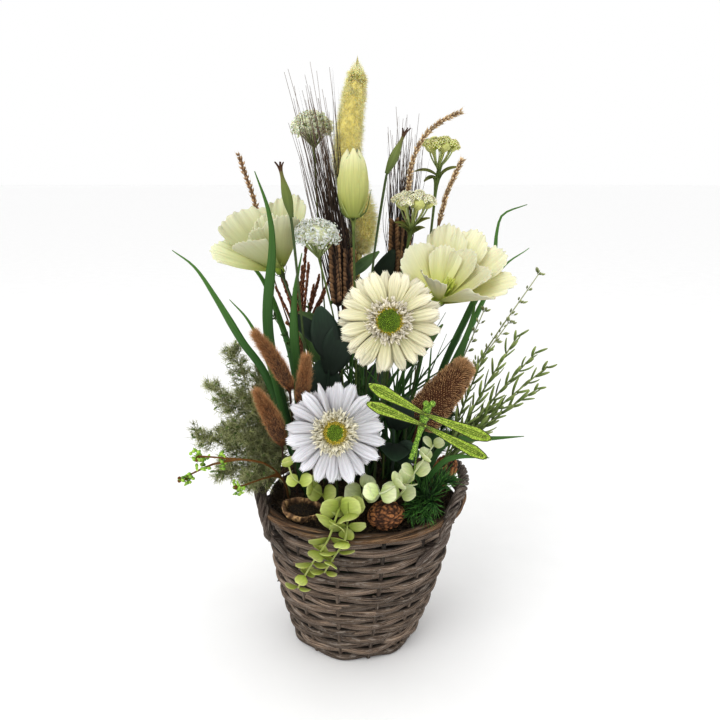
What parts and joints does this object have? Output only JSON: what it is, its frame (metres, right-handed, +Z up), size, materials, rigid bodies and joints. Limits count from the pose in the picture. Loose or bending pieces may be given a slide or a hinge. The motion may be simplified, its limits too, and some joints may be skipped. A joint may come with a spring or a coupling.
{
  "type": "flower arrangement in a willow basket",
  "caption": "Mixed silk and dried flower arrangement rooted in foam and moss in a round woven willow basket with ear handles.",
  "frame": {"origin": "middle of the basket's underside, on the surface it stands on", "axes": "+Z up, -Y towards the viewer, +X to the viewer's right"},
  "size_m": [0.3737, 0.2571, 0.624],
  "materials": {
    "willow": "whitewashed, matt",
    "foam": "open-celled, matt",
    "moss": "fibrous, matt",
    "petal_cream": "woven, satin",
    "petal_white": "woven, satin",
    "floret_disc": "flocked, matt",
    "stem_green": "satin",
    "bud_green": "woven, satin",
    "plume_straw": "hairy, matt",
    "wheat_brown": "dry, matt",
    "spike_brown": "dry, matt",
    "umbel_white": "matt",
    "sedum_green": "matt",
    "pod_green": "satin",
    "grass_green": "satin",
    "leaf_dark": "satin",
    "twig_red": "dry, matt",
    "tail_brown": "hairy, matt",
    "cone_brown": "bristly, matt",
    "dragonfly_green": "glittered",
    "spray_sage": "matt",
    "needle_green": "satin",
    "berry_green": "satin",
    "eucalyptus_green": "satin",
    "stone_brown": "furrowed, matt",
    "bark": "matt"
  },
  "bodies": {
    "root": {"basket_ear_right": "willow", "basket_ear_left": "willow", "basket_rim": "willow", "basket_wall": "willow", "basket_base": "willow", "moss_bed": "moss", "fruit_stone_front": "stone_brown", "fruit_husk_right": "stone_brown", "shell_cup": "bark", "shell_cup_moss": "moss", "gerbera_cream_petals": "petal_cream", "gerbera_cream_disc": "floret_disc", "gerbera_cream_stem": "stem_green", "gerbera_white_petals": "petal_white", "gerbera_white_disc": "floret_disc", "gerbera_white_stem": "stem_green", "lisianthus_right_bloom": "petal_cream", "lisianthus_right_stem": "stem_green", "lisianthus_left_bloom": "petal_cream", "lisianthus_left_stem": "stem_green", "lisianthus_bud": "bud_green", "foxtail_plume": "plume_straw", "wheat_left": "wheat_brown", "wheat_right": "wheat_brown", "grass_spike_left": "spike_brown", "grass_spike_tall": "spike_brown", "grass_spike_short": "spike_brown", "umbel_front": "umbel_white", "umbel_back": "umbel_white", "sedum_front": "sedum_green", "sedum_back": "sedum_green", "seed_pod_left": "pod_green", "seed_pod_right": "pod_green", "grass_left": "grass_green", "grass_middle": "grass_green", "grass_right": "grass_green", "grass_low": "grass_green", "dark_leaves_left": "leaf_dark", "dark_leaves_right": "leaf_dark", "dark_leaves_back": "leaf_dark", "red_twigs": "twig_red", "bunny_tail_upper": "tail_brown", "bunny_tail_middle": "tail_brown", "bunny_tail_lower": "tail_brown", "bristle_cone": "cone_brown", "dragonfly_body": "dragonfly_green", "dragonfly_forewings": "dragonfly_green", "dragonfly_hindwings": "dragonfly_green", "feathery_spray": "spray_sage", "linear_spray": "spray_sage", "budded_spray": "spray_sage", "pine_tuft": "needle_green", "green_tuft": "needle_green", "fern_tuft_back": "needle_green", "berry_twig": "berry_green", "eucalyptus_trailing": "eucalyptus_green", "eucalyptus_left": "eucalyptus_green", "eucalyptus_middle": "eucalyptus_green", "eucalyptus_right": "eucalyptus_green", "floral_foam": "foam"}
  },
  "joints": []
}
